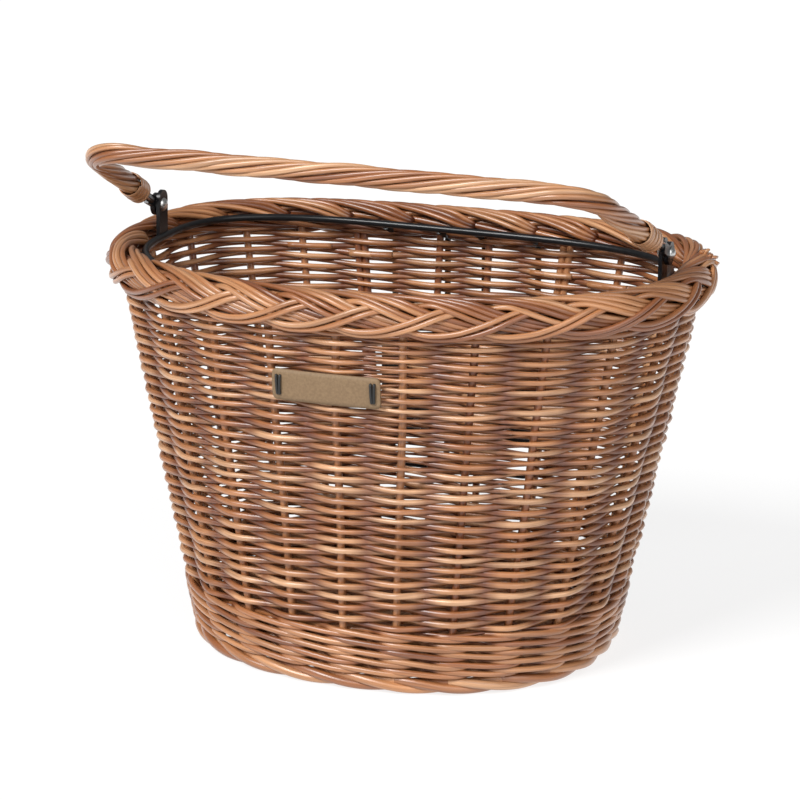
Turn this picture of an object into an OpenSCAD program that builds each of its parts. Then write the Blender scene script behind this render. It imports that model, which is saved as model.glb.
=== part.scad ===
// Bicycle handlebar basket of woven willow, with a twisted willow handle that folds on two
// rivets, a steel hoop inside the rim and a wire frame with a mounting plate on its back.
// Millimetres. +Z is up, -Y is the front, the origin is under the middle of the rim at the
// surface that the basket stands on.

/* [Basket body] */
// Half of the wall's length across the front, at the stakes, at the top
top_half_length = 189; // [180:1:200]
// Depth of the front half of the wall at the top
top_front_depth = 127.5; // [120:0.5:135]
// Depth of the flatter back half of the wall at the top
top_back_depth = 118; // [110:0.5:125]
// Half of the wall's length at the bottom
foot_half_length = 136; // [125:1:150]
// Depth of the front half of the wall at the bottom
foot_front_depth = 112; // [100:1:118]
// Depth of the back half of the wall at the bottom
foot_back_depth = 87; // [80:1:95]
// How far behind the origin the wall is widest
widest_y = 4.75; // [2:0.25:8]
// Roundness of the front half, where 2 is an ellipse
front_roundness = 2.2; // [2:0.1:2.6]
// Roundness of the back half, where a larger number is squarer
back_roundness = 3; // [2.4:0.1:3.4]
// Thickness of the woven wall, rods and stakes together
wall_thickness = 12; // [10:1:13]

/* [Stakes and borders] */
// Number of upright stakes
stake_count = 23; // [19:2:27]
// Diameter of a stake
stake_d = 5; // [4:0.5:6]
// Width of the plaited rim, from the inside to the outside
rim_width = 25; // [22:1:27]
// Height of the plaited rim
rim_height = 27; // [22:1:30]
// Diameter of the rolled border that the basket stands on
foot_d = 11; // [9:1:13]
// Height of the band of thicker rows above the foot
wale_height = 31; // [26:1:36]

/* [Base] */
// Thickness of the woven base
base_thickness = 8; // [7:1:10]
// Number of sticks across the base
base_stick_count = 9; // [7:2:11]
// Diameter of a base stick
base_stick_d = 5; // [4:0.5:5.5]

/* [Steel hoop and hinges] */
// Diameter of the hoop's rod
hoop_d = 5; // [4:0.5:6]
// Half of the hoop's length across the front
hoop_half_length = 172; // [170:0.5:175]
// Roundness of the hoop's back, where a larger number is squarer
hoop_roundness = 3.4; // [3:0.2:4]
// Height of the hinge pins above the ground
pivot_z = 274.1; // [273:0.1:278]
// How far behind the origin the hinge pins are
pivot_y = 12.5; // [8:0.5:16]
// How far the hoop and its hinge pins fall to the right, in degrees
hinge_tilt = 0.9; // [0:0.1:1.5]
// How far the hoop and its hinge pins are to the right
hinge_x = -3; // [-4:0.5:0]
// Width of a hinge bracket
bracket_width = 13; // [11:1:15]
// Thickness of a hinge bracket
bracket_thickness = 2.5; // [2:0.5:3]
// Diameter of the rivet that a handle end turns on
rivet_d = 5; // [4:0.5:6]

/* [Handle] */
// Distance from the hinge pins to the middle of the grip
handle_reach = 147; // [142:1:150]
// Diameter of the twisted willow
handle_d = 14; // [13:0.5:15]
// How far the handle leans forward from upright
handle_tilt = 65.3; // [40:0.1:75]
// Angle by which each leg leans inwards
leg_lean = 5; // [3:0.5:7]
// Radius of the bend between a leg and the grip
corner_radius = 30; // [25:1:40]
// Diameter of the steel wire inside the handle
core_d = 5; // [4:0.5:6]

/* [Back frame] */
// Diameter of the frame's wire
wire_d = 4.4; // [3.6:0.2:5]
// Distance between the two outer wires
outer_wire_gap = 104; // [98:1:110]
// Distance between the two inner wires
inner_wire_gap = 26.8; // [25:0.4:30]
// Width of the mounting plate
plate_width = 120; // [116:1:130]
// Height of the mounting plate
plate_height = 70; // [66:1:76]
// Thickness of the mounting plate
plate_thickness = 5; // [4:0.5:5]

/* [Label] */
// Length of the leather label
label_length = 70; // [60:1:80]
// Height of the leather label
label_height = 20; // [16:1:24]
// Height of the label's middle above the ground
label_z = 202; // [190:1:210]
// How far the label's middle is to the right
label_x = -4; // [-10:1:10]

/* [Hidden] */
$fn = 48;

// Heights. The outline is stated at these two levels and runs straight between them.
level_low = 6;
level_high = 252;
wale_low = foot_d - 0.2;
wall_low = wale_low + wale_height;
rim_z = 249;
wall_high = rim_z - rim_height / 2 + 4;
stake_low = 3;
stake_high = rim_z + 6;
wale_thickness = wall_thickness + 2;
base_low = wale_low;
base_gap = 0.4;

// Hoop, against the inner face of the rim
hoop_z = 252.3;
hoop_front_depth = 110;
hoop_back_depth = 103;

// Stack of parts on each hinge pin, measured outwards from the middle of the basket
bracket_x = hoop_half_length;
bracket_top = 3.4;
washer_x = bracket_x + bracket_thickness;
washer_thickness = 1;
running_gap = 0.1;
eye_x = washer_x + washer_thickness + running_gap;
eye_thickness = 3;
outer_head_x = eye_x + eye_thickness + running_gap;
head_r = 4.6;
head_rise = 2.6;
eye_r = 7.5;
pin_clearance = 0.05;
leg_x = eye_x + eye_thickness / 2;

// Handle, drawn upright with the hinge line at its foot
core_start = 12;
rods_start = 34;
binding_start = 38;
binding_length = 20;
binding_thickness = 1.3;
leg_length = (handle_reach - corner_radius * (1 - sin(leg_lean))) / cos(leg_lean);
leg_top_x = leg_x - leg_length * sin(leg_lean);
leg_top_z = leg_length * cos(leg_lean);
corner_x = leg_top_x - corner_radius * cos(leg_lean);
twist_length = 160;
rod_lobes = 9;
lobe_depth = 0.9;

// Back frame, hung from the hoop, upright behind the tapered wall
wire_y = 127;
wire_low_z = 82;
plate_z = 134;
plate_y = wire_y + wire_d / 2;
clamp_thickness = 4;
clamp_y = wire_y - wire_d / 2 - clamp_thickness;
screw_x = 33;
screw_z = 25;
screw_d = 5;
screw_head_d = 9;
screw_head_h = 1.6;
nut_h = 2.4;
fixing_x = 22;
fixing_z = 20;
fixing_d = 5.5;

steps = 96;

function mix(a, b, u) = a + (b - a) * u;

// Point of a superellipse of half length a, half depth b and roundness n, at an angle and a
// height, moved outwards by off.
function oval(a, b, n, angle, z, off) =
    let (c = cos(angle), s = sin(angle))
    let (r = pow(pow(abs(c) / a, n) + pow(abs(s) / b, n), -1 / n))
    let (nx = sign(c) * pow(abs(c) / a, n - 1) / a, ny = sign(s) * pow(abs(s) / b, n - 1) / b)
    let (m = norm([nx, ny]))
    [r * c + off * nx / m, r * s + off * ny / m + widest_y, z];

// Point of the basket's outline. The front and back halves share one half length.
function outline(angle, z, off) =
    let (u = (z - level_low) / (level_high - level_low))
    let (a = mix(foot_half_length, top_half_length, u))
    sin(angle) < 0
        ? oval(a, mix(foot_front_depth, top_front_depth, u), front_roundness, angle, z, off)
        : oval(a, mix(foot_back_depth, top_back_depth, u), back_roundness, angle, z, off);

function hoop_outline(angle, off) =
    sin(angle) < 0
        ? oval(hoop_half_length, hoop_front_depth, front_roundness, angle, hoop_z, off)
        : oval(hoop_half_length, hoop_back_depth, hoop_roundness, angle, hoop_z, off);

function outline_2d(z, off, count) =
    [for (i = [0 : count - 1]) let (p = outline(i * 360 / count, z, off)) [p.x, p.y]];

// Arc length from the middle of the front to each half degree, and the angle at a share of
// the whole length, so that stakes stand at equal distances.
function arc_steps(z, i = 0, sum = 0) =
    i > 720 ? []
    : let (add = i == 0 ? 0 : norm(outline(i / 2 - 90, z, 0) - outline(i / 2 - 90.5, z, 0)))
      concat([[sum + add, i / 2 - 90]], arc_steps(z, i + 1, sum + add));
low_arc = arc_steps(level_low);
high_arc = arc_steps(level_high);
function angle_at(table, share) = lookup(share * table[720][0], table);

// Faces of a grid of closed sections, one after another, with flat caps or joined in a ring.
function ring_faces(rings, sides, closed) = [
    for (i = [0 : rings - (closed ? 1 : 2)], j = [0 : sides - 1])
        let (n = (i + 1) % rings, k = (j + 1) % sides)
        each [[i * sides + j, n * sides + j, n * sides + k],
              [i * sides + j, n * sides + k, i * sides + k]],
    if (!closed) [for (j = [0 : sides - 1]) j],
    if (!closed) [for (j = [0 : sides - 1]) rings * sides - 1 - j]
];

// Ring that follows the outline at height z, with a section given as [outwards, upwards].
module outline_ring(z, section) {
    points = [
        for (i = [0 : steps - 1], s = section)
            let (p = outline(-i * 360 / steps, z, s[0])) [p.x, p.y, p.z + s[1]]
    ];
    polyhedron(points, ring_faces(steps, len(section), true), convexity = 4);
}

// Band of woven wall between two heights, open at the top and bottom.
module outline_band(low, high, thickness) {
    half = thickness / 2;
    points = [
        for (i = [0 : steps - 1], s = [[half, low], [half, high], [-half, high], [-half, low]])
            outline(-i * 360 / steps, s[1], s[0])
    ];
    polyhedron(points, ring_faces(steps, 4, true), convexity = 4);
}

// Round section, flattened below so that the border stands on a flat face.
function foot_section() = [
    for (i = [0 : 15]) let (a = 360 * i / 16 + 11.25)
        [foot_d / 2 * cos(a), max(foot_d / 2 * sin(a), -foot_d / 2 * sin(78.75))]
];

function oval_section(width, height, roundness) = [
    for (i = [0 : 15])
        let (c = cos(22.5 * i), s = sin(22.5 * i))
        let (r = pow(pow(abs(c) * 2 / width, roundness) + pow(abs(s) * 2 / height, roundness),
                     -1 / roundness))
        [r * c, r * s]
];

module rod(a, b, d) {
    v = b - a;
    translate(a)
        rotate([0, acos(v.z / norm(v)), atan2(v.y, v.x)])
            cylinder(h = norm(v), d = d);
}

// ---- Woven body ----

module base_sticks() {
    low = base_low + base_thickness / 2;
    inset = wale_thickness / 2 + 5;
    color("peru")
        for (i = [0 : base_stick_count - 1]) {
            x = (i - (base_stick_count - 1) / 2) * 1.7 * foot_half_length / base_stick_count;
            share = abs(x) / (foot_half_length - inset);
            across = pow(1 - pow(share, front_roundness), 1 / front_roundness);
            rod([x, widest_y - (foot_front_depth - inset) * across, low],
                [x, widest_y + (foot_back_depth - inset) * across, low], base_stick_d);
        }
}

module base_weave() {
    color("burlywood")
        translate([0, 0, base_low])
            linear_extrude(base_thickness)
                polygon(outline_2d(base_low, -wale_thickness / 2 - base_gap, steps));
}

module foot_border() {
    color("sienna")
        outline_ring(foot_d / 2 * sin(78.75), foot_section());
}

module bottom_wale() {
    color("peru")
        outline_band(wale_low, wall_low, wale_thickness);
}

module side_stakes() {
    color("saddlebrown")
        for (i = [0 : stake_count - 1]) {
            share = i / stake_count;
            low = outline(angle_at(low_arc, share), level_low, 0);
            high = outline(angle_at(high_arc, share), level_high, 0);
            slope = (high - low) / (high.z - low.z);
            rod(low + slope * (stake_low - low.z), low + slope * (stake_high - low.z), stake_d);
        }
}

module side_weave() {
    color("burlywood")
        outline_band(wall_low, wall_high, wall_thickness);
}

module rim_border() {
    color("peru")
        outline_ring(rim_z, oval_section(rim_width, rim_height, 2.6));
}

// ---- Steel hoop, brackets and hinge pins ----

module steel_hoop() {
    points = [
        for (i = [0 : steps - 1], a = [0 : 36 : 324])
            hoop_outline(-i * 360 / steps, hoop_d / 2 * cos(a))
                + [0, -pivot_y, hoop_d / 2 * sin(a) - pivot_z]
    ];
    color("black")
        on_hinge_line()
            polyhedron(points, ring_faces(steps, 10, true), convexity = 4);
}

// Frame of the hoop and its hinge line, which fall a little to the right.
module on_hinge_line() {
    translate([hinge_x, pivot_y, pivot_z])
        rotate([0, hinge_tilt, 0])
            children();
}

// side is 1 on the right and -1 on the left. Local z of these parts points outwards.
module on_hinge(side, x) {
    on_hinge_line()
        translate([side * x, 0, 0])
            rotate([0, side * 90, 0])
                children();
}

// Flat strip, round at the top and welded to the hoop's outer side at the bottom.
module bracket(side) {
    foot = pivot_z - hoop_z + hoop_d / 2;
    length = foot + bracket_top;
    color("black")
        on_hinge(side, bracket_x)
            difference() {
                union() {
                    translate([-side * bracket_top, 0, 0])
                        cylinder(h = bracket_thickness, d = bracket_width);
                    translate([side > 0 ? -bracket_top : -foot, -bracket_width / 2, 0])
                        cube([length, bracket_width, bracket_thickness]);
                }
                translate([0, 0, -1])
                    cylinder(h = bracket_thickness + 2, d = rivet_d);
            }
}

// Dome of a rivet head, flat side at z = 0.
module rivet_head() {
    sphere_r = (head_r * head_r + head_rise * head_rise) / (2 * head_rise);
    intersection() {
        translate([0, 0, head_rise - sphere_r])
            sphere(r = sphere_r);
        cylinder(h = head_rise, r = head_r);
    }
}

module rivet(side) {
    reach = outer_head_x - bracket_x;
    color("silver")
        on_hinge(side, bracket_x) {
            cylinder(h = reach, d = rivet_d);
            translate([0, 0, reach])
                rivet_head();
            mirror([0, 0, 1])
                rivet_head();
        }
}

module washer(side) {
    color("silver")
        on_hinge(side, washer_x)
            difference() {
                cylinder(h = washer_thickness, r = head_r);
                translate([0, 0, -1])
                    cylinder(h = washer_thickness + 2, d = rivet_d);
            }
}

module left_bracket() { bracket(-1); }
module right_bracket() { bracket(1); }
module left_rivet() { rivet(-1); }
module right_rivet() { rivet(1); }
module left_washer() { washer(-1); }
module right_washer() { washer(1); }

// ---- Handle ----

module leaned_handle() {
    on_hinge_line()
        rotate([handle_tilt, 0, 0])
            children();
}

// Frame of one leg: local z runs up the leg from the hinge pin.
module on_leg(side) {
    translate([side * leg_x, 0, 0])
        rotate([0, -side * leg_lean, 0])
            children();
}

// Flattened eye at the right end of the wire.
module core_eye() {
    difference() {
        union() {
            translate([leg_x - eye_thickness / 2, 0, 0])
                rotate([0, 90, 0])
                    cylinder(h = eye_thickness, r = eye_r);
            translate([leg_x - eye_thickness / 2, -core_d / 2 - 1, 5])
                cube([eye_thickness, core_d + 2, core_start]);
        }
        translate([leg_x - eye_thickness, 0, 0])
            rotate([0, 90, 0])
                cylinder(h = eye_thickness * 2, r = rivet_d / 2 + pin_clearance);
    }
}

module handle_core() {
    bend_steps = 8;
    half = concat(
        [half_point(core_start)],
        [for (i = [0 : bend_steps]) half_point(leg_length + corner_length * i / bend_steps)]
    );
    path = concat(
        [for (p = half) [p.x, 0, p.y]],
        [for (i = [len(half) - 1 : -1 : 0]) [-half[i].x, 0, half[i].y]]
    );
    color("dimgray")
        leaned_handle() {
            core_eye();
            mirror([1, 0, 0])
                core_eye();
            wire(path, core_d);
        }
}

// Middle line of the right half of the handle as a point and a direction, by length.
corner_length = corner_radius * (90 - leg_lean) * PI / 180;
function half_point(s) =
    s < leg_length ? [leg_x - s * sin(leg_lean), s * cos(leg_lean)]
    : s < leg_length + corner_length
        ? let (a = leg_lean + (s - leg_length) / corner_radius * 180 / PI)
          [corner_x + corner_radius * cos(a),
           leg_top_z - corner_radius * sin(leg_lean) + corner_radius * sin(a)]
        : [corner_x - (s - leg_length - corner_length), handle_reach];
function half_turn(s) =
    s < leg_length ? leg_lean
    : min(90, leg_lean + (s - leg_length) / corner_radius * 180 / PI);
half_total = leg_length + corner_length + corner_x;
function path_point(s) =
    s <= half_total ? half_point(s)
    : let (p = half_point(2 * half_total - s)) [-p.x, p.y];
function path_turn(s) =
    s <= half_total ? half_turn(s) : 180 - half_turn(2 * half_total - s);

// Nine rods twisted round the wire, as one lobed rope swept along the middle line.
module handle_rods() {
    rings = 84;
    sides = 36;
    length = 2 * (half_total - rods_start);
    points = [
        for (i = [0 : rings - 1], j = [0 : sides - 1])
            let (s = rods_start + length * i / (rings - 1), a = 360 * j / sides)
            let (twist = -360 * s / twist_length, p = path_point(s), t = path_turn(s))
            let (r = handle_d / 2 - lobe_depth * abs(sin(rod_lobes / 2 * a)))
            let (u = r * cos(a + twist), v = r * sin(a + twist))
            [p.x + u * cos(t), v, p.y + u * sin(t)]
    ];
    color("peru")
        leaned_handle()
            polyhedron(points, ring_faces(rings, sides, false), convexity = 6);
}

module binding(side) {
    color("burlywood")
        leaned_handle()
            on_leg(side)
                translate([0, 0, binding_start])
                    difference() {
                        cylinder(h = binding_length, r = handle_d / 2 + 0.2 + binding_thickness);
                        translate([0, 0, -1])
                            cylinder(h = binding_length + 2, r = handle_d / 2 + 0.2);
                    }
}

module left_binding() { binding(-1); }
module right_binding() { binding(1); }

// ---- Wire frame and mounting plate on the back ----

// Corners of a path rounded off by a curve that starts and ends a distance away from each.
function rounded(path, reach) = concat(
    [path[0]],
    [for (i = [1 : len(path) - 2])
        let (p = path[i], a = path[i - 1] - p, b = path[i + 1] - p)
        let (a1 = p + a / norm(a) * reach, b1 = p + b / norm(b) * reach)
        each [for (k = [0 : 5]) let (t = k / 5)
            a1 * (1 - t) * (1 - t) + p * 2 * t * (1 - t) + b1 * t * t]],
    [path[len(path) - 1]]
);

// Round wire along a path that never runs along the diagonal between +X and +Y.
module wire(path, d) {
    sides = 10;
    last = len(path) - 1;
    points = [
        for (i = [0 : last])
            let (v = path[min(i + 1, last)] - path[max(i - 1, 0)])
            let (u = cross(v, [1, 1, 0]), w = cross(u, v))
            for (j = [0 : sides - 1])
                let (a = 360 * j / sides)
                path[i] + d / 2 * (cos(a) * u / norm(u) - sin(a) * w / norm(w))
    ];
    polyhedron(points, ring_faces(last + 1, sides, false), convexity = 6);
}

// Wire bent in a U: both ends welded to the hoop and led out through the rim, legs upright
// behind the wall and the cross wire bent in towards the wall.
module wire_u(gap, low_z) {
    hoop_y = hoop_outline(90, 0).y;
    wall_y = outline(90, low_z, wall_thickness / 2).y + wire_d / 2 + 0.3;
    leg = [
        [hoop_y, hoop_z - 1],
        [wire_y, hoop_z - 9],
        [wire_y, low_z + 14],
        [wall_y, low_z]
    ];
    path = concat(
        [for (p = leg) [-gap / 2, p[0], p[1]]],
        [for (i = [len(leg) - 1 : -1 : 0]) [gap / 2, leg[i][0], leg[i][1]]]
    );
    color("black")
        wire(rounded(path, wire_d), wire_d);
}

module back_frame_outer() { wire_u(outer_wire_gap, wire_low_z); }
module back_frame_inner() { wire_u(inner_wire_gap, wire_low_z - 8); }

module along_y(x, y, z, h, d) {
    translate([x, y + h, z])
        rotate([90, 0, 0])
            cylinder(h = h, d = d);
}

module plate_holes(y, thickness) {
    for (sx = [-1, 1], sz = [-1, 1]) {
        along_y(sx * screw_x, y - 1, plate_z + sz * screw_z, thickness + 2, screw_d);
        along_y(sx * fixing_x, y - 1, plate_z + sz * fixing_z, thickness + 2, fixing_d);
    }
}

// Flat plate with rounded corners, standing upright.
module upright_plate(y, thickness, width, height) {
    r = 8;
    difference() {
        union() {
            translate([-width / 2 + r, y, plate_z - height / 2])
                cube([width - 2 * r, thickness, height]);
            translate([-width / 2, y, plate_z - height / 2 + r])
                cube([width, thickness, height - 2 * r]);
            for (sx = [-1, 1], sz = [-1, 1])
                along_y(sx * (width / 2 - r), y, plate_z + sz * (height / 2 - r), thickness, 2 * r);
        }
        plate_holes(y, thickness);
    }
}

// Outer plate, with counterbores that the screw heads sit in.
module mounting_plate() {
    color("dimgray")
        difference() {
            upright_plate(plate_y, plate_thickness, plate_width, plate_height);
            for (sx = [-1, 1], sz = [-1, 1])
                along_y(sx * screw_x, plate_y + plate_thickness - screw_head_h,
                        plate_z + sz * screw_z, screw_head_h + 1, screw_head_d + 0.4);
        }
}

module clamp_plate() {
    color("dimgray")
        upright_plate(clamp_y, clamp_thickness, plate_width, plate_height);
}

module clamp_screws() {
    head_y = plate_y + plate_thickness - screw_head_h;
    length = head_y - clamp_y + nut_h;
    color("silver")
        for (sx = [-1, 1], sz = [-1, 1]) {
            x = sx * screw_x;
            z = plate_z + sz * screw_z;
            along_y(x, clamp_y - nut_h, z, length, screw_d);
            along_y(x, head_y, z, screw_head_h, screw_head_d);
        }
}

module clamp_nuts() {
    color("silver")
        for (sx = [-1, 1], sz = [-1, 1])
            translate([sx * screw_x, clamp_y, plate_z + sz * screw_z])
                rotate([90, 0, 0])
                    difference() {
                        cylinder(h = nut_h, d = 9, $fn = 6);
                        translate([0, 0, -1])
                            cylinder(h = nut_h + 2, d = screw_d);
                    }
}

// ---- Leather label ----

label_thickness = 2;
label_gap = 0.4;
label_slope = atan((top_front_depth - foot_front_depth) / (level_high - level_low));
tie_d = 2;
tie_span = 11;
tie_x = label_length / 2 - 4.5;

// Frame of the label: z runs up the sloping wall, y is 0 at the label's back in the middle.
module on_label() {
    translate([label_x, outline(270, label_z, wall_thickness / 2 + label_gap).y, label_z])
        rotate([label_slope, 0, 0])
            children();
}

// Depth of the curved wall behind the plane of the label, x to the right of its middle.
function label_bow(x) =
    let (depth = mix(foot_front_depth, top_front_depth, 0.8) + wall_thickness / 2)
    let (half = mix(foot_half_length, top_half_length, 0.8) + wall_thickness / 2)
    depth * (1 - pow(1 - pow(abs(x + label_x) / half, front_roundness), 1 / front_roundness));

module label() {
    half_steps = 10;
    xs = [for (i = [-half_steps : half_steps]) i * label_length / 2 / half_steps];
    edge = [for (x = xs) [x, label_bow(x)]];
    front_edge = [for (i = [len(xs) - 1 : -1 : 0]) [xs[i], label_bow(xs[i]) - label_thickness]];
    color("tan")
        on_label()
            translate([0, 0, -label_height / 2])
                linear_extrude(label_height)
                    polygon(concat(edge, front_edge));
}

// Black ties that hold the label's two ends to the weave.
module label_ties() {
    color("black")
        on_label()
            for (side = [-1, 1]) {
                x = side * tie_x;
                y = label_bow(x) - label_thickness - tie_d / 2;
                rod([x, y, -tie_span / 2], [x, y, tie_span / 2], tie_d);
                for (end = [-1, 1]) {
                    translate([x, y, end * tie_span / 2])
                        sphere(d = tie_d);
                    rod([x, y, end * tie_span / 2], [x, y + 9, end * tie_span / 2], tie_d);
                }
            }
}

base_sticks();
base_weave();
foot_border();
bottom_wale();
side_stakes();
side_weave();
rim_border();
steel_hoop();
left_bracket();
right_bracket();
left_rivet();
right_rivet();
left_washer();
right_washer();
handle_core();
handle_rods();
left_binding();
right_binding();
back_frame_outer();
back_frame_inner();
mounting_plate();
clamp_plate();
clamp_screws();
clamp_nuts();
label();
label_ties();
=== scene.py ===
"""Looks of a woven willow bicycle basket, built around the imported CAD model.

Shapes are worked out in millimetres, and become metres where a mesh is made. The front is -Y.
A place on the wall is a stake number, counted from the middle of the front towards +X, a height
and a distance outwards from the line of the stakes.
"""

import math

import bpy
import numpy as np
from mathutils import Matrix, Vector


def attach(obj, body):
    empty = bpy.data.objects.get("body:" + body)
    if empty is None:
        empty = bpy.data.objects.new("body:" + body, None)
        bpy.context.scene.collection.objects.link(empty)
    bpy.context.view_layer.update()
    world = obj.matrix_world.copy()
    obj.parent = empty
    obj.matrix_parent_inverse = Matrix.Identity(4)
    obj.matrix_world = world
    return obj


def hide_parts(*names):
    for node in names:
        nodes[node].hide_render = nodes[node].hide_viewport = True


MM = 0.001

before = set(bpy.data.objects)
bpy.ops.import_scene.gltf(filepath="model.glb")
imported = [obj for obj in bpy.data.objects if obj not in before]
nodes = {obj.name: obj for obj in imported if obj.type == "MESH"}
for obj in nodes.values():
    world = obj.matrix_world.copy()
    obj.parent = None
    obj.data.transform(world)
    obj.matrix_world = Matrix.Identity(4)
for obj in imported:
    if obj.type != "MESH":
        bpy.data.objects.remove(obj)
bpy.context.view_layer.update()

# ---- Sizes of the basket, as in the CAD model ----

STAKES = 23
LEVEL_LOW, LEVEL_HIGH = 6.0, 252.0
HALF_LENGTH = (136.0, 189.0)
FRONT_DEPTH = (112.0, 127.5)
BACK_DEPTH = (87.0, 118.0)
FRONT_ROUNDNESS, BACK_ROUNDNESS = 2.2, 3.0
WIDEST_Y = 4.75
WALE_LOW, WALL_LOW, WALL_HIGH = 11.5, 42.0, 246.0
RIM_Z = 249.0
HOOP_Z, HOOP_RADIUS = 252.3, 2.5
HOOP_HALF_LENGTH, HOOP_FRONT_DEPTH, HOOP_BACK_DEPTH, HOOP_ROUNDNESS = 172.0, 110.0, 103.0, 3.4
PIVOT = np.array([-3.0, 12.5, 274.1])
HINGE_TILT = math.radians(0.9)
HANDLE_TILT = math.radians(65.3)


NOISE_VALUES = 4096


def smooth_noise(t, seed, spread, step=1.0):
    """A smooth random curve along t, with a new value every step, the same on every run."""
    t = np.asarray(t, float) / step
    values = np.random.default_rng(seed).normal(0.0, spread, NOISE_VALUES)
    cell = np.floor(t).astype(int)
    share = t - cell
    share = share * share * (3 - 2 * share)
    a, b = values[cell % NOISE_VALUES], values[(cell + 1) % NOISE_VALUES]
    return a + (b - a) * share


# ---- Outline and wall ----

OUTLINE_STEPS, GRID_STEPS = 7200, 4600
GRID = np.linspace(0, 1, GRID_STEPS + 1)


def oval(angle, half_length, depths, roundness):
    """x and y of a ring whose front and back halves are superellipses."""
    c, s = np.cos(angle), np.sin(angle)
    depth = np.where(s < 0, depths[0], depths[1])
    n = np.where(s < 0, roundness[0], roundness[1])
    r = (np.abs(c / half_length) ** n + np.abs(s / depth) ** n) ** (-1 / n)
    return r * c, r * s + WIDEST_Y


def level_table(level):
    """x and y of the stake line at one level, at equal steps of its length, from the front's middle."""
    angle = np.radians(np.linspace(-90, 270, OUTLINE_STEPS + 1))
    depths = FRONT_DEPTH[level], BACK_DEPTH[level]
    x, y = oval(angle, HALF_LENGTH[level], depths, (FRONT_ROUNDNESS, BACK_ROUNDNESS))
    run = np.concatenate([[0], np.cumsum(np.hypot(np.diff(x), np.diff(y)))])
    even = np.linspace(0, run[-1], GRID_STEPS + 1)
    return np.interp(even, run, x), np.interp(even, run, y), run[-1]


LOW_X, LOW_Y, LOW_RUN = level_table(0)
HIGH_X, HIGH_Y, HIGH_RUN = level_table(1)
TOP_GAP = HIGH_RUN / STAKES


def stake_line(s, z):
    """Points of the stake line's surface at stake numbers s and heights z."""
    share = (np.asarray(s, float) / STAKES) % 1.0
    u = (np.asarray(z, float) - LEVEL_LOW) / (LEVEL_HIGH - LEVEL_LOW)
    x = np.interp(share, GRID, LOW_X) * (1 - u) + np.interp(share, GRID, HIGH_X) * u
    y = np.interp(share, GRID, LOW_Y) * (1 - u) + np.interp(share, GRID, HIGH_Y) * u
    return x, y


def outwards(s, z):
    """Level unit vectors square to the wall."""
    x0, y0 = stake_line(np.asarray(s) - 0.02, z)
    x1, y1 = stake_line(np.asarray(s) + 0.02, z)
    length = np.hypot(x1 - x0, y1 - y0)
    return (y1 - y0) / length, -(x1 - x0) / length


def wall(s, z, off):
    """Points on the wall at stake numbers s, heights z and distances off outwards."""
    s, z, off = np.broadcast_arrays(np.asarray(s, float), z, off)
    x, y = stake_line(s, z)
    nx, ny = outwards(s, z)
    return np.stack([x + nx * off, y + ny * off, z], axis=1)


def on_hinge_line(x, y, z):
    """Points given from the hinge line's middle, which falls a little to the right."""
    c, s = math.cos(HINGE_TILT), math.sin(HINGE_TILT)
    return np.stack([x * c + z * s, y, z * c - x * s], axis=1) + PIVOT


# ---- Rods as meshes ----


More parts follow.
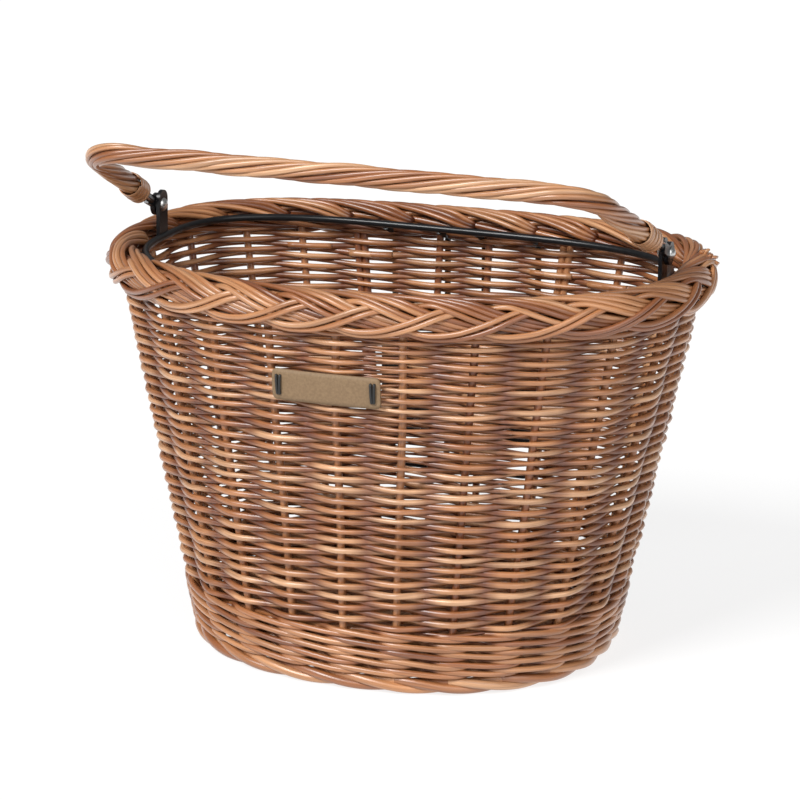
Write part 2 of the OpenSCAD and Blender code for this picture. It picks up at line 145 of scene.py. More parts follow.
class Rods:
    """Round or flat rods gathered into one mesh, each with a tone and a share of painted shade."""

    def __init__(self):
        self.points, self.tones, self.places, self.shades = [], [], [], []
        self.quads, self.fans = [], []
        self.count = 0

    def add(self, path, radius, tone, sides=8, closed=False, ref=(0, 0, 1), flat=1.0, shade=1.0):
        """Adds a tube along path. flat is its thickness over its width, along ref.

        shade is 1 where the rod has no painted shade and 0 where painted shade darkens it most.
        """
        path = np.asarray(path, float)
        n = len(path)
        radius = np.broadcast_to(np.asarray(radius, float), (n,))
        if closed:
            run = np.roll(path, -1, axis=0) - np.roll(path, 1, axis=0)
        else:
            run = np.gradient(path, axis=0)
        run /= np.linalg.norm(run, axis=1)[:, None]
        ref = np.broadcast_to(np.asarray(ref, float), (n, 3))
        across = np.cross(run, ref)
        across /= np.linalg.norm(across, axis=1)[:, None]
        up = np.cross(across, run)
        angle = np.linspace(0, 2 * math.pi, sides, endpoint=False)
        c, s = np.cos(angle), np.sin(angle)
        ring = c[None, :, None] * across[:, None, :] + flat * s[None, :, None] * up[:, None, :]
        step = np.linalg.norm(np.diff(path, axis=0), axis=1)
        along = np.concatenate([[0], np.cumsum(step)])
        place = np.empty((n, sides, 3))
        place[:, :, 0] = radius[:, None] * c
        place[:, :, 1] = radius[:, None] * s
        place[:, :, 2] = along[:, None] + 997.0 * tone
        self.add_rings(path[:, None, :] + radius[:, None, None] * ring, place, tone, closed, shade)

    def add_rings(self, points, place, tone, closed=False, shade=1.0):
        """Adds a skin over rings of points, with flat caps unless it is closed."""
        n, sides = points.shape[:2]
        base = self.count
        i = np.arange(n if closed else n - 1)
        j = np.arange(sides)
        i, j = np.meshgrid(i, j, indexing="ij")
        k, m = (i + 1) % n, (j + 1) % sides
        quad = np.stack([i * sides + j, i * sides + m, k * sides + m, k * sides + j], axis=-1)
        self.quads.append(base + quad.reshape(-1, 4))
        if not closed:
            self.fans.append(base + np.arange(sides)[::-1])
            self.fans.append(base + (n - 1) * sides + np.arange(sides))
        self.points.append(points.reshape(-1, 3))
        self.tones.append(np.full(n * sides, tone))
        self.shades.append(np.repeat(np.broadcast_to(shade, (n,)), sides))
        self.places.append(place.reshape(-1, 3))
        self.count += n * sides

    def piece(self, name, body, slot, material, replaced=()):
        """Makes the mesh object, puts it on its body with its material and hides the CAD nodes it
        replaces.
        """
        corners = [quad.ravel() for quad in self.quads] + self.fans
        sizes = [np.full(len(quad), 4) for quad in self.quads]
        sizes += [np.array([len(fan)]) for fan in self.fans]
        corners, sizes = np.concatenate(corners), np.concatenate(sizes)
        mesh = bpy.data.meshes.new(name)
        mesh.vertices.add(self.count)
        mesh.vertices.foreach_set("co", (np.concatenate(self.points) * MM).ravel())
        mesh.loops.add(len(corners))
        mesh.loops.foreach_set("vertex_index", corners.astype(np.int32))
        mesh.polygons.add(len(sizes))
        starts = np.concatenate([[0], np.cumsum(sizes)[:-1]])
        mesh.polygons.foreach_set("loop_start", starts.astype(np.int32))
        mesh.polygons.foreach_set("loop_total", sizes.astype(np.int32))
        mesh.update(calc_edges=True)
        tone = mesh.attributes.new("rod_tone", "FLOAT", "POINT")
        tone.data.foreach_set("value", np.concatenate(self.tones))
        shade = mesh.attributes.new("rod_shade", "FLOAT", "POINT")
        shade.data.foreach_set("value", np.concatenate(self.shades))
        place = mesh.attributes.new("rod_place", "FLOAT_VECTOR", "POINT")
        place.data.foreach_set("vector", (np.concatenate(self.places) * MM).ravel())
        smooth = np.ones(len(sizes), bool)
        smooth[len(sizes) - len(self.fans):] = False
        mesh.polygons.foreach_set("use_smooth", smooth)
        return finish_piece(mesh, name, body, material, replaced)


def finish_piece(mesh, name, body, material, replaced=()):
    """Puts a mesh in the scene on its body, with its material, in place of the CAD nodes it replaces.
    """
    piece = bpy.data.objects.new(name, mesh)
    bpy.context.scene.collection.objects.link(piece)
    mesh.materials.append(material)
    mesh.validate()
    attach(piece, body)
    if replaced:
        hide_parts(*replaced)
    return piece


# ---- Materials ----


def new_material(name, **sockets):
    """A material with its shader's sockets set by name, with _ for a space."""
    material = bpy.data.materials.new(name)
    material.use_nodes = True
    shader = material.node_tree.nodes["Principled BSDF"]
    for label, value in sockets.items():
        shader.inputs[label.replace("_", " ")].default_value = value
    return material, material.node_tree, shader


def node(tree, kind, **settings):
    """Adds a shader node. Each setting is a property of it or, failing that, an input."""
    made = tree.nodes.new(kind)
    for label, value in settings.items():
        if hasattr(made, label):
            setattr(made, label, value)
        else:
            made.inputs[label.replace("_", " ")].default_value = value
    return made


def ramp(tree, stops, source):
    """Colour ramp through (place, colour) stops."""
    made = tree.nodes.new("ShaderNodeValToRGB")
    elements = made.color_ramp.elements
    while len(elements) < len(stops):
        elements.new(0.5)
    for element, (place, colour) in zip(elements, stops):
        element.position = place
        element.color = (*colour, 1.0)
    tree.links.new(source, made.inputs["Fac"])
    return made.outputs["Color"]


def mix_colour(tree, kind, share, a, b):
    """Mixes colours a and b, each a value or another node's output."""
    made = tree.nodes.new("ShaderNodeMix")
    made.data_type = "RGBA"
    made.blend_type = kind
    for socket, value in ((made.inputs[0], share), (made.inputs[6], a), (made.inputs[7], b)):
        if isinstance(value, bpy.types.NodeSocket):
            tree.links.new(value, socket)
        else:
            socket.default_value = value
    return made.outputs[2]


def stretched_noise(tree, around, along, detail):
    """Noise on the rods' own coordinates, drawn out along each rod."""
    place = node(tree, "ShaderNodeAttribute", attribute_name="rod_place")
    scale = node(tree, "ShaderNodeMapping")
    scale.inputs["Scale"].default_value = (around, around, along)
    noise = node(tree, "ShaderNodeTexNoise", Scale=1.0, Detail=detail, Roughness=0.6)
    tree.links.new(place.outputs["Vector"], scale.inputs["Vector"])
    tree.links.new(scale.outputs["Vector"], noise.inputs["Vector"])
    return noise.outputs["Fac"]


def willow(name, stops, roughness):
    """Varnished willow: a tone for each rod, long streaks, blotches, a fine grain and painted shade
    where rod_shade is low.
    """
    material, tree, shader = new_material(
        name, Roughness=roughness, Coat_Weight=0.8, Coat_Roughness=0.34, Specular_IOR_Level=0.5
    )
    tone = node(tree, "ShaderNodeAttribute", attribute_name="rod_tone")
    streaks = stretched_noise(tree, 900.0, 22.0, 4.0)
    blotches = stretched_noise(tree, 160.0, 14.0, 2.0)
    colour = ramp(tree, stops, tone.outputs["Fac"])
    blotch = ramp(tree, [(0.3, (0.62, 0.55, 0.5)), (0.7, (1.25, 1.28, 1.3))], blotches)
    colour = mix_colour(tree, "MULTIPLY", 0.75, colour, blotch)
    streak = ramp(tree, [(0.32, (0.55, 0.47, 0.42)), (0.62, (1.12, 1.14, 1.16))], streaks)
    colour = mix_colour(tree, "MULTIPLY", 0.7, colour, streak)
    # Painted shade: where rod_shade is low, the rod is darkened towards dark brown, as where it passes
    # between the stakes or under other rods.
    painted_shade = node(tree, "ShaderNodeAttribute", attribute_name="rod_shade")
    shade_darkening = ramp(tree, [(0.0, (0.32, 0.16, 0.07)), (0.6, (1.0, 1.0, 1.0))], painted_shade.outputs["Fac"])
    colour = mix_colour(tree, "MULTIPLY", 1.0, colour, shade_darkening)
    tree.links.new(colour, shader.inputs["Base Color"])
    bump = node(tree, "ShaderNodeBump", Strength=0.35, Distance=0.0004)
    tree.links.new(streaks, bump.inputs["Height"])
    tree.links.new(bump.outputs["Normal"], shader.inputs["Normal"])
    return material


BROWNS = [
    (0.0, (0.17, 0.045, 0.011)),
    (0.3, (0.33, 0.120, 0.038)),
    (0.65, (0.46, 0.212, 0.088)),
    (1.0, (0.62, 0.375, 0.21)),
]
WEAVE = willow("willow_weave", BROWNS, 0.42)
BORDER = willow("willow_border", BROWNS, 0.4)
STAKE = willow("willow_stake", BROWNS, 0.45)
SKEIN = willow("willow_skein", BROWNS, 0.5)


def plain_noise(tree, scale, detail):
    """Noise on a piece's own coordinates."""
    place = node(tree, "ShaderNodeTexCoord")
    noise = node(tree, "ShaderNodeTexNoise", Scale=scale, Detail=detail)
    tree.links.new(place.outputs["Object"], noise.inputs["Vector"])
    return noise.outputs["Fac"]


def grained(name, low, high, scale, rough, bump_distance, **sockets):
    """A finish whose colour and roughness vary with one noise, with a small bump."""
    material, tree, shader = new_material(name, **sockets)
    noise = plain_noise(tree, scale, 5.0)
    tree.links.new(ramp(tree, [(0.3, low), (0.7, high)], noise), shader.inputs["Base Color"])
    spread = node(tree, "ShaderNodeMapRange")
    spread.inputs["To Min"].default_value = rough[0]
    spread.inputs["To Max"].default_value = rough[1]
    tree.links.new(noise, spread.inputs["Value"])
    tree.links.new(spread.outputs["Result"], shader.inputs["Roughness"])
    bump = node(tree, "ShaderNodeBump", Strength=0.4, Distance=bump_distance)
    tree.links.new(noise, bump.inputs["Height"])
    tree.links.new(bump.outputs["Normal"], shader.inputs["Normal"])
    return material


PAINT = grained(
    "black_paint", (0.006, 0.006, 0.007), (0.010, 0.010, 0.011), 400.0, (0.26, 0.38), 0.00005,
    Specular_IOR_Level=0.25, Coat_Weight=0.12, Coat_Roughness=0.12,
)
ZINC = grained(
    "zinc", (0.55, 0.55, 0.54), (0.72, 0.72, 0.71), 900.0, (0.2, 0.38), 0.00003, Metallic=1.0
)
PLASTIC = grained(
    "black_plastic", (0.012, 0.012, 0.013), (0.022, 0.022, 0.024), 1600.0, (0.5, 0.68), 0.0001
)
LEATHER = grained(
    "leather", (0.175, 0.108, 0.054), (0.235, 0.152, 0.080), 700.0, (0.55, 0.75), 0.0002
)
CORD = grained(
    "waxed_cord", (0.008, 0.008, 0.008), (0.02, 0.02, 0.02), 1500.0, (0.4, 0.6), 0.0001
)


def tone_of(seed, low=0.12, high=0.88):
    """A random number between low and high that depends only on the seed, often a rod's tone."""
    return float(np.random.default_rng(seed).uniform(low, high))


# ---- Upright stakes ----

# Stakes near the middle of the back stand a little off their even places, and two are doubled.
BACK_SHIFT = {9: -0.11, 10: -0.17, 11: 0.11, 12: -0.11, 13: 0.17, 14: 0.11}
DOUBLED = (10, 13)
STAKE_RADIUS = 2.6


def side_stakes():
    """Upright stakes from the foot to the rim, each with a slight sway."""
    rods = Rods()
    for i in range(STAKES):
        z = np.linspace(4, 250, 60)
        shift = BACK_SHIFT.get(i, 0.0) * (z / 250)
        for twin in (-0.055, 0.055) if i in DOUBLED else (0.0,):
            sway = smooth_noise(z, 50 + i, 0.012, 60)
            path = wall(i + shift + sway + twin, z, smooth_noise(z, 90 + i, 0.2, 70))
            rods.add(path, STAKE_RADIUS, tone_of(100 + i, 0.0, 0.6), sides=10, ref=(1, 0.3, 0))
    rods.piece("stakes", "basket", "willow_stake", STAKE, ["side_stakes"])


# ---- Woven rows of the wall ----

ROWS = 61
ROD_STAKES = 25
SPAN_STEPS = 10
WEAVE_OFFSET = 4.2
WEAVE_PIECES = 4
WEAVE_OVERLAP = 0.35
TUCK_RUN, TUCK_DEPTH = 0.6, 1.6
# Places where the rods are slimmer: a stake number, a height and half the height of the place.
GAPS = (
    (0.72, 215, 26), (1.15, 164, 28), (2.7, 162, 28),
    (12.85, 148, 28), (12.4, 95, 28), (10.4, 98, 30),
)
GAP_SLIMNESS, GAP_HALF_WIDTH = 0.44, 0.34


def row_height(t):
    """Height of the spiral of rows after t stakes. Rows are closer near the front's top."""
    q = np.clip(t / (ROWS * STAKES), 0, 1)
    s = t % STAKES
    front = 0.5 + 0.5 * np.cos(2 * math.pi * s / STAKES)
    warp = -0.12 + 0.26 * front
    z = WALL_LOW - 1 + (WALL_HIGH - WALL_LOW + 1) * (q + warp * q * (1 - q))
    slow = np.sin(2 * math.pi * (0.13 * s + z / 75)) + np.sin(2 * math.pi * (0.31 * s - z / 52))
    fade = np.clip(np.minimum(z - WALL_LOW, WALL_HIGH - z) / 25, 0, 1)
    return z + 0.55 * slow * fade


def in_and_out(t):
    """1 where a rod is outside a stake, -1 where it is inside, nearly straight between."""
    return np.arcsin(0.96 * np.cos(math.pi * t)) / math.asin(0.96)


def slimness(t):
    """Share by which rods are slimmer in the gaps."""
    s = t % STAKES
    z = row_height(t)
    slim = 0.0
    for stake, height, half in GAPS:
        fade = np.exp(-((s - stake) / GAP_HALF_WIDTH) ** 2 - ((z - height) / half) ** 6)
        slim = slim + GAP_SLIMNESS * fade
    return slim


def side_weave():
    """One spiral of rods laid end to end, in and out of the stakes."""
    total = ROWS * STAKES
    # Each rod starts and ends inside the basket, behind an inner crossing.
    starts = [a + 1 if a % 2 == 0 else a for a in range(0, total, ROD_STAKES)]
    bounds = starts + [total]
    per_piece = math.ceil(len(starts) / WEAVE_PIECES)
    for part in range(WEAVE_PIECES):
        rods = Rods()
        for k in range(part * per_piece, min((part + 1) * per_piece, len(starts))):
            a, b = bounds[k] - WEAVE_OVERLAP, bounds[k + 1] + WEAVE_OVERLAP
            t = np.linspace(a, b, int((b - a) * SPAN_STEPS) + 1)
            from_end = np.minimum(t - a, b - t)
            tuck = TUCK_DEPTH * np.clip(1 - from_end / TUCK_RUN, 0, 1) ** 2
            taper = np.linspace(0, 1, len(t))
            if k % 2:
                taper = 1 - taper
            pitch = (row_height(t + STAKES) - row_height(t - STAKES)) / 2
            size = pitch * (0.58 - 0.06 * taper + smooth_noise(t, 300 + k, 0.018, 2.0))
            size = size * (1 - slimness(t))
            off = WEAVE_OFFSET * in_and_out(t) + smooth_noise(t, 500 + k, 0.3) - tuck
            z = row_height(t) + smooth_noise(t, 700 + k, 0.2, 0.9)
            # Painted shade: a rod is darkest midway between outside and inside, where it passes between
            # the stakes.
            shade = np.abs(off) / WEAVE_OFFSET
            rods.add(wall(t, z, off), size, tone_of(900 + k, 0.24, 0.9), shade=shade)
        name = f"weave_{part + 1}"
        rods.piece(name, "basket", "willow_weave", WEAVE, ["side_weave"] if part == 0 else ())


# ---- Three-rod wale at the bottom ----

WALE_ROWS = 5
WALE_RODS = 3
WALE_OFFSET = 4.2


def bottom_wale():
    """Rows of three rods, each passing outside two stakes and inside one in turn."""
    rods = Rods()
    pitch = (WALL_LOW - WALE_LOW) / WALE_ROWS
    for row in range(WALE_ROWS):
        middle = WALE_LOW + pitch * (row + 0.5)
        for j in range(WALE_RODS):
            t = np.linspace(0, STAKES, STAKES * SPAN_STEPS + 1) + 10.5 + 0.7 * row
            turn = 2 * math.pi * (t - j - 0.5) / WALE_RODS
            seed = 1500 + 10 * row + j
            off = WALE_OFFSET * np.tanh(2.0 * np.cos(turn) + 0.4) + smooth_noise(t, seed, 0.2)
            z = middle - 1.5 * np.sin(turn) + smooth_noise(t, seed + 100, 0.25)
            size = 1.95 + smooth_noise(t, seed + 200, 0.08, 2.0)
            # Painted shade: the wale rods darken where they pass between the stakes.
            rods.add(wall(t, z, off), size, tone_of(seed + 300, 0.06, 0.66), shade=np.abs(off) / 4.0)
    rods.piece("wale", "basket", "willow_weave", WEAVE, ["bottom_wale"])


# ---- Rolled border that the basket stands on ----


FOOT_SPAN = 3
FOOT_ROLL = 2.75
FOOT_MIDDLE = 5.9


def foot_border():
    """Rods that roll over each other once in three stakes, thinner at their ends."""
    rods = Rods()
    for unit in range(STAKES):
        t = np.linspace(-0.3, FOOT_SPAN + 0.3, 60)
        turn = 2 * math.pi * t / FOOT_SPAN
        size = 3.1 - 0.5 * np.clip(np.abs(t - FOOT_SPAN / 2) - 1.1, 0, 1)
        off = FOOT_ROLL * np.sin(turn) + 0.4
        z = FOOT_MIDDLE + FOOT_ROLL * np.cos(turn)
        rods.add(wall(unit + t, z, off), size, tone_of(2000 + unit))
    rods.piece("foot_border", "basket", "willow_border", BORDER, ["foot_border"])


# ---- Plaited rim ----

# A strand of the plait starts inside at its own stake. Going right it falls over the top to the
# outside, passes under two earlier strands, turns up over two more and dives under the top.
STRAND_TURN = [
    (-0.75, 150), (0, 106), (0.5, 78), (1.0, 35), (1.4, 10), (1.9, -35),
    (2.5, -50), (3.0, -20), (3.64, 40), (4.3, 95), (5.0, 140),
]
STRAND_OVER, STRAND_UNDER = 11.3, 7.7
STRAND_LAYER = [
    (-0.75, 8.0), (-0.35, STRAND_OVER), (1.05, STRAND_OVER), (1.35, STRAND_UNDER),
    (2.0, STRAND_UNDER), (2.3, STRAND_OVER), (3.5, STRAND_OVER), (3.8, STRAND_UNDER), (5.0, 6.5),
]
STRAND_ROD = 1.78
STRAND_SPACING = 3.45
RIM_WIDE, RIM_HIGH = 0.96, 1.16
FAN_STAKE = 6.75
FAN_TIPS = 5
FILLING_RODS = 6
FILLING_TURNS = 5


def eased(t, stops, blur):
    """Curve through (place, value) stops with its corners rounded over a length of blur."""
    places, values = zip(*stops)
    shifts = np.linspace(-blur, blur, 9)
    return np.mean([np.interp(t + shift, places, values) for shift in shifts], axis=0)


def rim_point(s, angle, radius):
    """Points round the rim's section, where an angle of 0 faces outwards and 90 degrees up."""
    points = wall(s, RIM_Z, radius * RIM_WIDE * np.cos(angle))
    rise = 1.0 - np.cos(2 * math.pi * np.asarray(s) / STAKES)
    points[:, 2] += radius * RIM_HIGH * np.sin(angle) + rise
    return points


def strand_path(unit, t, aside, sink):
    """Path of one rod of a strand, t in stakes from its start, aside towards its lower left."""
    angle = np.radians(eased(t, STRAND_TURN, 0.3))
    radius = eased(t, STRAND_LAYER, 0.16) - sink
    run = np.gradient(t) * TOP_GAP
    fall = np.gradient(angle) * STRAND_OVER
    length = np.hypot(run, fall)
    s = unit + t + aside * fall / length / TOP_GAP
    return rim_point(s, angle - aside * run / length / STRAND_OVER, radius)


def rim_border():
    """The plait, the fan of cut tips at its right end and the rods that fill it."""
    rods = Rods()
    # Rods of a strand: where each starts and ends, and its place in rods across the strand.
    lays = ((-0.7, 4.95, -0.5), (-0.7, 4.95, 0.5), (0.2, 2.3, 1.5), (-0.7, 2.3, -1.5))
    for unit in range(STAKES):
        for number, (first, last, place) in enumerate(lays):
            t = np.arange(first, last, 0.07)
            seed = 2500 + 10 * unit + number
            aside = place * STRAND_SPACING + smooth_noise(t, seed, 0.3)
            size = STRAND_ROD + smooth_noise(t, seed + 5, 0.07, 2.0)
            from_end = np.minimum(t - first, last - t)
            sink = 4.0 * np.clip(1 - from_end / 0.3, 0, 1) ** 1.5
            path = strand_path(unit, t, aside, sink)
            # Painted shade: rods darken where the strand passes under other strands and where its ends
            # sink into the plait.
            height = eased(t, STRAND_LAYER, 0.16) - sink
            shade = (height - 5.0) / (STRAND_OVER - 5.0)
            rods.add(path, size, tone_of(seed, 0.08, 0.78), sides=10, shade=shade)
    # The last rods woven in end in a small fan of cut tips at the right.
    for j in range(FAN_TIPS):
        t = np.linspace(0, 1, 9)
        angle = np.radians(84 - 14 * j * t)
        s = FAN_STAKE - 0.10 * t
        path = rim_point(s, angle, 4.5 + (9.5 + 1.5 * (j % 2)) * t)
        rods.add(path, 2.3 - 0.3 * t, tone_of(2980 + j, 0.3, 0.8), flat=0.5)
    rods.piece("rim_plait", "basket", "willow_border", BORDER, ["rim_border"])
    filling = Rods()
    for j in range(FILLING_RODS):
        s = np.linspace(0, STAKES, STAKES * 12, endpoint=False)
        angle = 2 * math.pi * (j / FILLING_RODS - s / STAKES * FILLING_TURNS)
        filling.add(rim_point(s, angle, 4.2), 2.1, tone_of(3000 + j, 0.0, 0.4), closed=True)
    filling.piece("rim_filling", "basket", "willow_border", BORDER)


# ---- Woven base ----

BASE_STICKS = 9
BASE_Z = 15.0
BASE_ROW_GAP = 3.3


def base_inside(y):
    """Half of the base's length at a distance behind the widest line."""
    depth = FRONT_DEPTH[0] if y < 0 else BACK_DEPTH[0]
    n = FRONT_ROUNDNESS if y < 0 else BACK_ROUNDNESS
    share = min(abs(y) / (depth - 6), 0.999)
    return (HALF_LENGTH[0] - 6) * (1 - share ** n) ** (1 / n)


def base():
    """Sticks from front to back, and rows of rods woven through them."""
    sticks = Rods()
    middle_stick = (BASE_STICKS - 1) // 2
    places = [(i - middle_stick) * 1.7 * HALF_LENGTH[0] / BASE_STICKS for i in range(BASE_STICKS)]
    for i, x in enumerate(places):
        share = abs(x) / (HALF_LENGTH[0] - 10)
        front = (FRONT_DEPTH[0] - 10) * (1 - share ** FRONT_ROUNDNESS) ** (1 / FRONT_ROUNDNESS)
        back = (BACK_DEPTH[0] - 10) * (1 - share ** BACK_ROUNDNESS) ** (1 / BACK_ROUNDNESS)
        y = np.linspace(WIDEST_Y - front, WIDEST_Y + back, 30)
        path = np.stack([x + smooth_noise(y, 3100 + i, 0.4, 50), y, np.full(30, BASE_Z)], axis=1)
        sticks.add(path, 2.5, tone_of(3120 + i, 0.0, 0.6), sides=10)
    sticks.piece("base_sticks", "basket", "willow_stake", STAKE, ["base_sticks"])
    rows = Rods()
    gap = places[1] - places[0]
    levels = np.arange(-FRONT_DEPTH[0] + 9, BACK_DEPTH[0] - 8, BASE_ROW_GAP)
    for k, level in enumerate(levels):
        half = base_inside(level)
        x = np.linspace(-half, half, max(12, int(half / 1.6)))
        swing = np.cos(math.pi * x / gap + math.pi * (k % 2))
        z = BASE_Z + 3.3 * swing
        y = WIDEST_Y + level + smooth_noise(x, 3200 + k, 0.3, 20)
        path = np.stack([x, y, z], axis=1)
        rows.add(path, 1.95 + smooth_noise(x, 3300 + k, 0.06, 60), tone_of(3400 + k))
    rows.piece("base_weave", "basket", "willow_weave", WEAVE, ["base_weave"])


# ---- Steel hoop and back wires ----

HOOP_STEPS = 480
WIRE_Y = 127.0
WIRE_RADIUS = 2.2
# Name of each back wire, the gap between its uprights and the height of its foot.
BACK_FRAMES = (("back_frame_outer", 104.0, 82.0), ("back_frame_inner", 26.8, 74.0))


def steel_hoop():
    """Round steel rod just inside the rim, tilted like the hinge line."""
    rods = Rods()
    angle = np.linspace(0, 2 * math.pi, HOOP_STEPS, endpoint=False)
    depths = HOOP_FRONT_DEPTH, HOOP_BACK_DEPTH
    x, y = oval(angle, HOOP_HALF_LENGTH, depths, (FRONT_ROUNDNESS, HOOP_ROUNDNESS))
    path = on_hinge_line(x, y - PIVOT[1], np.full(HOOP_STEPS, HOOP_Z - PIVOT[2]))
    rods.add(path, HOOP_RADIUS, 0.5, sides=16, closed=True)
    rods.piece("hoop", "basket", "black_steel", PAINT, ["steel_hoop"])


def rounded(corners, reach):
    """Path through corners, with each inner one rounded off over a distance on both sides."""
    path = [corners[0]]
    t = np.linspace(0, 1, 9)[:, None]
    for before, corner, after in zip(corners, corners[1:], corners[2:]):
        a = corner + (before - corner) / np.linalg.norm(before - corner) * reach
        b = corner + (after - corner) / np.linalg.norm(after - corner) * reach
        path.extend(a * (1 - t) ** 2 + corner * 2 * t * (1 - t) + b * t ** 2)
    return np.array(path + [corners[-1]])


def back_frame(name, gap, low_z):
    """Wire bent in a U, hung from the hoop, that leaves the wall under the rim."""
    hoop_y = WIDEST_Y + HOOP_BACK_DEPTH
    wall_y = wall([STAKES / 2], low_z, 8.5)[0, 1]
    leg = [(hoop_y, HOOP_Z - 1), (WIRE_Y, HOOP_Z - 9), (WIRE_Y, low_z + 14), (wall_y, low_z)]
    left = [np.array([-gap / 2, y, z]) for y, z in leg]
    right = [np.array([gap / 2, y, z]) for y, z in reversed(leg)]
    rods = Rods()
    path = rounded(left + right, 4.4)
    rods.add(path, WIRE_RADIUS, 0.5, sides=14, ref=(0.35, 1, 0.35))
    rods.piece(name, "basket", "black_steel", PAINT, [name])


# ---- Twisted handle ----

HANDLE_REACH = 147.0
LEG_LEAN = math.radians(5)
CORNER_RADIUS = 30.0
LEG_X = 177.1
LEG_LENGTH = (HANDLE_REACH - CORNER_RADIUS * (1 - math.sin(LEG_LEAN))) / math.cos(LEG_LEAN)
CORNER_X = LEG_X - LEG_LENGTH * math.sin(LEG_LEAN) - CORNER_RADIUS * math.cos(LEG_LEAN)
CORNER_UP = LEG_LENGTH * math.cos(LEG_LEAN) - CORNER_RADIUS * math.sin(LEG_LEAN)
CORNER_RUN = CORNER_RADIUS * (math.pi / 2 - LEG_LEAN)
HALF_RUN = LEG_LENGTH + CORNER_RUN + CORNER_X
TWIST_LENGTH = 160.0
HANDLE_BUNDLES, BUNDLE_RODS = 3, 3
FRAYED_ENDS = 7


def handle_line(run):
    """Middle line of the upright handle as x, up and the angle it has turned from upright."""
    run = np.asarray(run, float)
    folded = np.where(run > HALF_RUN, 2 * HALF_RUN - run, run)
    mirror = np.where(run > HALF_RUN, -1.0, 1.0)
    bend = np.clip((folded - LEG_LENGTH) / CORNER_RADIUS, 0, math.pi / 2 - LEG_LEAN) + LEG_LEAN
    on_leg = folded < LEG_LENGTH
    on_bar = folded > LEG_LENGTH + CORNER_RUN
    x = np.where(
        on_leg,
        LEG_X - folded * math.sin(LEG_LEAN),
        CORNER_X + CORNER_RADIUS * np.cos(bend) - np.where(on_bar, folded - LEG_LENGTH - CORNER_RUN, 0),
    )
    up = np.where(on_leg, folded * math.cos(LEG_LEAN), CORNER_UP + CORNER_RADIUS * np.sin(bend))
    turn = np.where(mirror > 0, bend, math.pi - bend)
    return x * mirror, up, turn


def on_handle(run, radius, angle):
    """Points at a radius and angle round the handle's middle line, in the basket's frame."""
    x, up, turn = handle_line(run)
    x = x + radius * np.cos(angle) * np.cos(turn)
    up = up + radius * np.cos(angle) * np.sin(turn)
    deep = radius * np.sin(angle)
    c, s = math.cos(HANDLE_TILT), math.sin(HANDLE_TILT)
    return on_hinge_line(x, deep * c - up * s, deep * s + up * c)


def handle():
    """Bundles of rods twisted round the wire, and a skein bound round each end."""
    rods = Rods()
    for j in range(HANDLE_BUNDLES * BUNDLE_RODS):
        seed = 3600 + j
        start = 31 + 4 * tone_of(seed, 0, 1)
        run = np.arange(start, 2 * HALF_RUN - start, 1.8)
        bundle, rod = divmod(j, BUNDLE_RODS)
        lay = bundle / HANDLE_BUNDLES + (rod - 1) * 0.098
        angle = 2 * math.pi * (lay - run / TWIST_LENGTH) + smooth_noise(run, seed, 0.035, 40)
        radius = 5.35 + smooth_noise(run, seed + 20, 0.2, 35) - (0.5 if rod != 1 else 0)
        size = 1.7 + smooth_noise(run, seed + 40, 0.08, 80)
        rods.add(on_handle(run, radius, angle), size, tone_of(seed + 60), ref=(0, 1, 0.2))
    rods.add(on_handle(np.arange(36, 2 * HALF_RUN - 36, 4), 0.0, 0.0), 3.9, 0.1, ref=(0, 1, 0.2))
    rods.piece("handle_twist", "handle", "willow_border", BORDER, ["handle_rods"])
    for side, name in ((0, "right_binding"), (1, "left_binding")):
        skein = Rods()
        for layer, turn_count in enumerate((4.3, -3.4)):
            run = np.linspace(37.5, 58.5, 240)
            turns = 2 * math.pi * turn_count * (run - 38) / 20
            radius = 7.5 + 0.35 * layer + 0.25 * np.sin(run * 1.3)
            if side:
                run = 2 * HALF_RUN - run
            path = on_handle(run, radius, turns)
            middle = on_handle(run, 0.0, turns)
            tone = tone_of(3700 + side + 10 * layer, 0.5, 1)
            skein.add(path, 2.8 - layer, tone, ref=path - middle, flat=0.2)
        for j in range(FRAYED_ENDS):
            run = np.linspace(40, 28 + 5 * tone_of(3750 + j, 0, 1), 8)
            if side:
                run = 2 * HALF_RUN - run
            spread = np.linspace(5.6, 5.2 + 2.2 * tone_of(3760 + j, 0, 1), 8)
            size = np.linspace(1.0, 0.35, 8)
            skein.add(on_handle(run, spread, 0.9 * j + side), size, tone_of(3770 + j), sides=6)
        skein.piece(name, "handle", "willow_skein", SKEIN, [name])


# ---- Leather label ----

LABEL_X, LABEL_Z = -4.0, 202.0
LABEL_LENGTH, LABEL_HEIGHT, LABEL_CORNER = 70.0, 20.0, 3.0
LABEL_BACK, LABEL_FRONT = 6.4, 8.3


def on_front(x, z, off):
    """Points on the front of the wall, x measured along it from the middle of the front."""
    u = (z - LEVEL_LOW) / (LEVEL_HIGH - LEVEL_LOW)
    gap = (LOW_RUN * (1 - u) + HIGH_RUN * u) / STAKES
    return wall(x / gap, z, off)


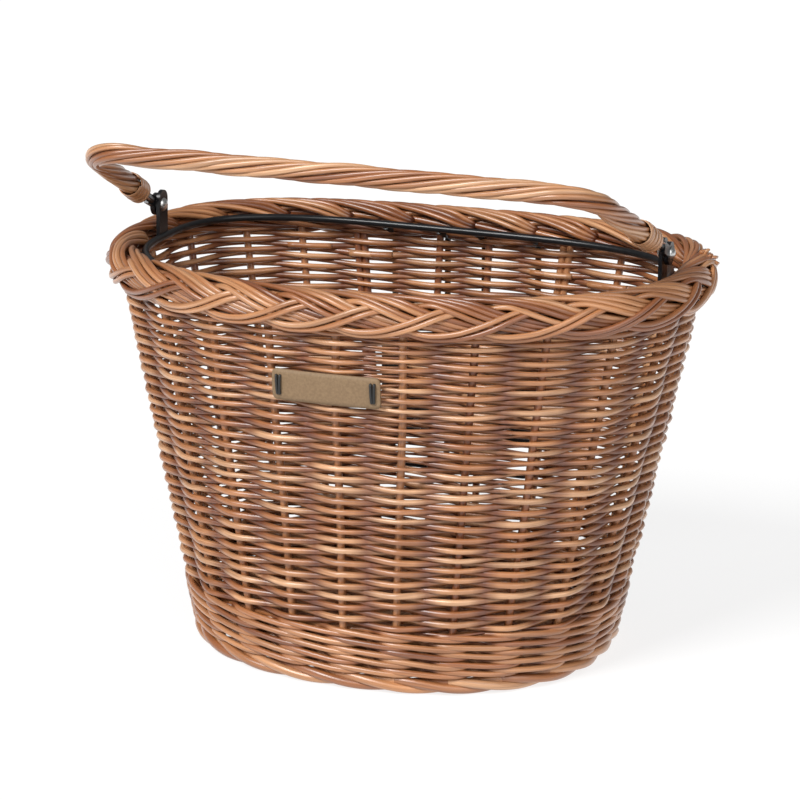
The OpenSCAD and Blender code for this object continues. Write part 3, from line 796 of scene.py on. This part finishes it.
def label():
    """Blank leather strip bent to the wall, with two black stitches at each end."""
    strip = Rods()
    half = LABEL_LENGTH / 2
    bend = np.linspace(0, math.pi / 2, 7)
    ends = half - LABEL_CORNER * (1 - np.sin(bend))
    x = np.concatenate([-ends[::-1], np.linspace(-ends[0], ends[0], 36)[1:-1], ends])
    corner = LABEL_CORNER * (1 - np.cos(bend))
    cut = np.concatenate([corner[::-1], np.zeros(34), corner])
    share = np.linspace(-1, 1, 9)
    rise = np.concatenate([share, share[::-1]])
    face = np.concatenate([np.full(9, 1.0), np.full(9, 0.0)])
    points = []
    for across, less in zip(x, cut):
        z = LABEL_Z + rise * (LABEL_HEIGHT / 2 - less)
        curl = 0.6 * np.abs(rise) ** 6
        off = np.where(face > 0, LABEL_FRONT - curl, LABEL_BACK)
        points.append(on_front(LABEL_X + across, z, off))
    points = np.array(points)
    strip.add_rings(points, points, 0.5)
    strip.piece("label_strip", "basket", "label_leather", LEATHER, ["label"])
    ties = Rods()
    for side in (-1, 1):
        for twin in (-1, 1):
            x = LABEL_X + side * (half - 4.5) + 0.95 * twin
            z = LABEL_Z + np.array([-4.6, -5.6, -5.8, -2, 2, 5.8, 5.6, 4.6])
            off = np.array([3.0, 7.0, 8.9, 9.3, 9.3, 8.9, 7.0, 3.0])
            t = np.linspace(0, 7, 40)
            z, off = np.interp(t, range(8), z), np.interp(t, range(8), off)
            lean = 0.5 * twin * np.linspace(-1, 1, 40)
            ties.add(on_front(x + lean, z, off), 0.95, 0.5, sides=8, ref=(1, 0, 0))
    ties.piece("label_cords", "basket", "tie_cord", CORD, ["label_ties"])


# ---- Build ----

side_stakes()
side_weave()
bottom_wale()
foot_border()
rim_border()
base()
steel_hoop()
for back_wire in BACK_FRAMES:
    back_frame(*back_wire)
handle()
label()

# CAD nodes that stay in view as they are.
PAINTED = ("left_bracket", "right_bracket", "handle_core")
PLATED = ("left_rivet", "right_rivet", "left_washer", "right_washer", "clamp_screws", "clamp_nuts")
MOULDED = ("mounting_plate", "clamp_plate")
for names, material in ((PAINTED, PAINT), (PLATED, ZINC), (MOULDED, PLASTIC)):
    for name in names:
        nodes[name].data.materials.clear()
        nodes[name].data.materials.append(material)


# ---- Floor, light and camera, in metres ----

FLOOR_REACH = 15.0
CAMERA_PLACE = (0.6318, -1.7224, 0.6874)
CAMERA_YAW, CAMERA_PITCH = math.radians(20.2), math.radians(16.0)
CAMERA_LENS = 130.9


def floor():
    """Large level floor that glows nearly white."""
    mesh = bpy.data.meshes.new("floor")
    r = FLOOR_REACH
    mesh.from_pydata([(-r, -r, 0), (r, -r, 0), (r, r, 0), (-r, r, 0)], [], [(0, 1, 2, 3)])
    plane = bpy.data.objects.new("floor", mesh)
    bpy.context.scene.collection.objects.link(plane)
    material, _, shader = new_material("floor", Roughness=0.9)
    shader.inputs["Base Color"].default_value = (0.2, 0.2, 0.2, 1)
    shader.inputs["Emission Color"].default_value = (1, 1, 1, 1)
    shader.inputs["Emission Strength"].default_value = 0.8
    mesh.materials.append(material)


def sun(name, azimuth, elevation, strength, width):
    """Soft sun, azimuth in degrees to the right of straight in front of the basket."""
    light = bpy.data.lights.new(name, "SUN")
    light.energy = strength
    light.angle = math.radians(width)
    lamp = bpy.data.objects.new(name, light)
    a, e = math.radians(azimuth), math.radians(elevation)
    towards = Vector((-math.sin(a) * math.cos(e), math.cos(a) * math.cos(e), -math.sin(e)))
    lamp.rotation_euler = towards.to_track_quat("-Z", "Y").to_euler()
    bpy.context.scene.collection.objects.link(lamp)


def camera():
    """The camera of the photo, to the right of the basket's front and above it."""
    data = bpy.data.cameras.new("camera")
    data.lens = CAMERA_LENS
    data.sensor_width = 36.0
    data.clip_end = 100.0
    eye = bpy.data.objects.new("camera", data)
    eye.location = CAMERA_PLACE
    eye.rotation_euler = (math.pi / 2 - CAMERA_PITCH, 0, CAMERA_YAW)
    bpy.context.scene.collection.objects.link(eye)
    bpy.context.scene.camera = eye


def lighting():
    """Faint white surroundings, a key sun from the left and a weaker one from the right."""
    world = bpy.data.worlds.new("world")
    world.use_nodes = True
    world.node_tree.nodes["Background"].inputs["Color"].default_value = (1, 1, 1, 1)
    world.node_tree.nodes["Background"].inputs["Strength"].default_value = 0.2
    bpy.context.scene.world = world
    sun("key", -26.0, 42.0, 3.4, 24.0)
    sun("fill", 50.0, 32.0, 1.2, 50.0)
    bpy.context.scene.view_settings.view_transform = "Standard"


floor()
lighting()
camera()
